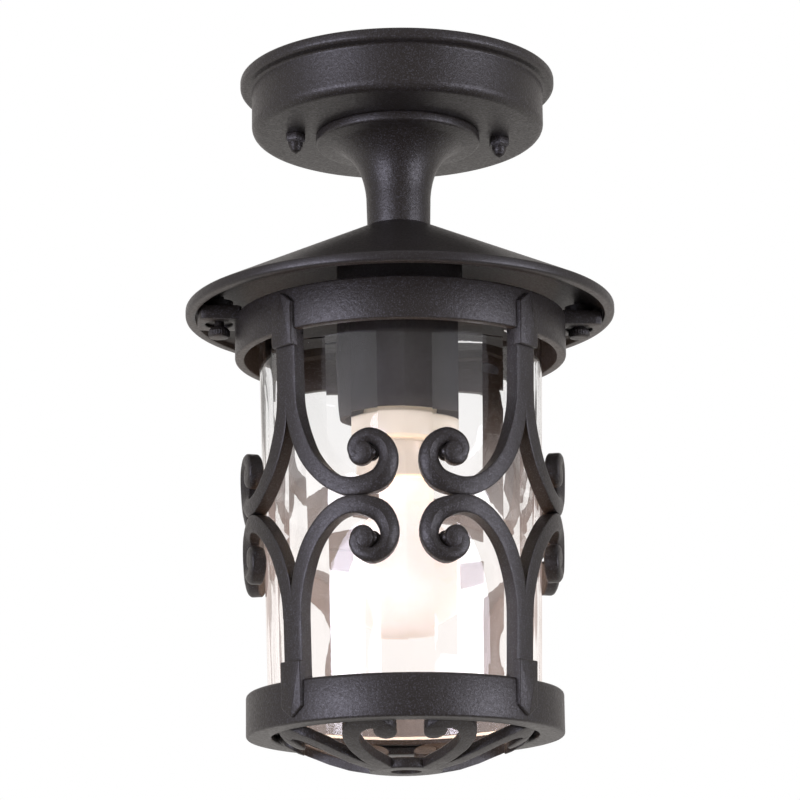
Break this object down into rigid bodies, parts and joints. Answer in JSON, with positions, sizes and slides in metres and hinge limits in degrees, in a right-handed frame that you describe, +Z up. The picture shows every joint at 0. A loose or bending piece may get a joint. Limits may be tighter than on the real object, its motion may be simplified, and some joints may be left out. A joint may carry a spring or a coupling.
{
  "type": "porch ceiling lantern",
  "caption": "Hanging porch lantern: ceiling canopy, flared stem, conical roof, scroll cage round a fluted glass cylinder, domed openwork bottom.",
  "frame": {"origin": "centre of the ceiling bracket's two screw slots, in the ceiling plane", "axes": "+Z up out of the lantern into the ceiling, -Y towards the viewer, X through the two dome nuts and the two cage ears"},
  "size_m": [0.227, 0.227, 0.3728],
  "materials": {
    "black_coat": "black sand-textured powder coat on cast aluminium",
    "zinc_steel": "zinc plated",
    "brass": "plain",
    "lamp_cap": "nickel plated",
    "black_rubber": "closed-cell foam rubber",
    "clear_silicone": "translucent silicone",
    "white_plastic": "moulded",
    "black_glass": "black glass insulator",
    "earth_wire": "green and yellow insulated copper lead",
    "live_wire": "brown insulated copper lead",
    "neutral_wire": "blue insulated copper lead",
    "ceramic": "glazed cream ceramic",
    "opal_glass": "white coated, lit warm",
    "clear_glass": "clear, fluted on the inside"
  },
  "bodies": {
    "fixture": {"mounting_bracket": "zinc_steel", "canopy_studs": "zinc_steel", "canopy": "black_coat", "canopy_gasket": "black_rubber", "stem": "black_coat", "threaded_tube": "zinc_steel", "tube_washers": "zinc_steel", "tube_nuts": "zinc_steel", "roof": "black_coat", "terminal_block": "white_plastic", "terminal_sleeves": "brass", "earth_screw": "brass", "earth_tag": "zinc_steel", "earth_lead": "earth_wire", "live_lead": "live_wire", "neutral_lead": "neutral_wire", "holder_bracket": "zinc_steel", "holder_screws": "zinc_steel", "lampholder_cup": "black_coat", "lampholder": "ceramic", "holder_terminals": "brass", "screw_shell": "brass", "centre_contact": "brass"},
    "nut_left": {"dome_nut_left": "black_coat"},
    "nut_right": {"dome_nut_right": "black_coat"},
    "lamp_foot": {"bulb_contact": "zinc_steel", "bulb_insulator": "black_glass"},
    "lamp": {"bulb_cap": "lamp_cap", "bulb_envelope": "opal_glass", "bulb_mount": "clear_glass", "filament": "zinc_steel"},
    "cage": {"top_ring": "black_coat", "glass_seal": "black_rubber", "scroll_post_1": "black_coat", "scroll_post_2": "black_coat", "scroll_post_3": "black_coat", "scroll_post_4": "black_coat", "post_screws_top": "zinc_steel", "post_screws_bottom": "zinc_steel", "bottom_ring": "black_coat", "glass_cylinder": "clear_glass", "glass_seat": "clear_silicone", "bottom_grille": "black_coat", "grille_screws": "zinc_steel"},
    "screw_left": {"cage_screw_left": "black_coat"},
    "screw_right": {"cage_screw_right": "black_coat"}
  },
  "joints": [
    {"name": "nut_left_turn", "type": "hinge", "parent": "fixture", "child": "nut_left", "pos_m": [-0.055, 0, -0.036], "axis": [0, 0, -1], "continuous": true},
    {"name": "nut_right_turn", "type": "hinge", "parent": "fixture", "child": "nut_right", "pos_m": [0.055, 0, -0.036], "axis": [0, 0, -1], "continuous": true},
    {"name": "bulb_travel", "type": "slide", "parent": "fixture", "child": "lamp_foot", "axis": [0, 0, -1], "range_m": [0, 0.0199]},
    {"name": "bulb_turn", "type": "hinge", "parent": "lamp_foot", "child": "lamp", "pos_m": [0, 0, -0.26], "axis": [0, 0, -1], "range_deg": [0, 1980]},
    {"name": "cage_drop", "type": "slide", "parent": "fixture", "child": "cage", "axis": [0, 0, -1], "range_m": [0, 0.22]},
    {"name": "screw_left_turn", "type": "hinge", "parent": "cage", "child": "screw_left", "pos_m": [-0.0958, 0, -0.138], "axis": [0, 0, -1], "continuous": true},
    {"name": "screw_right_turn", "type": "hinge", "parent": "cage", "child": "screw_right", "pos_m": [0.0958, 0, -0.138], "axis": [0, 0, -1], "continuous": true}
  ],
  "couplings": [
    {"joint": "bulb_turn", "follows": "bulb_travel", "rad_per_m": 1731.4}
  ]
}
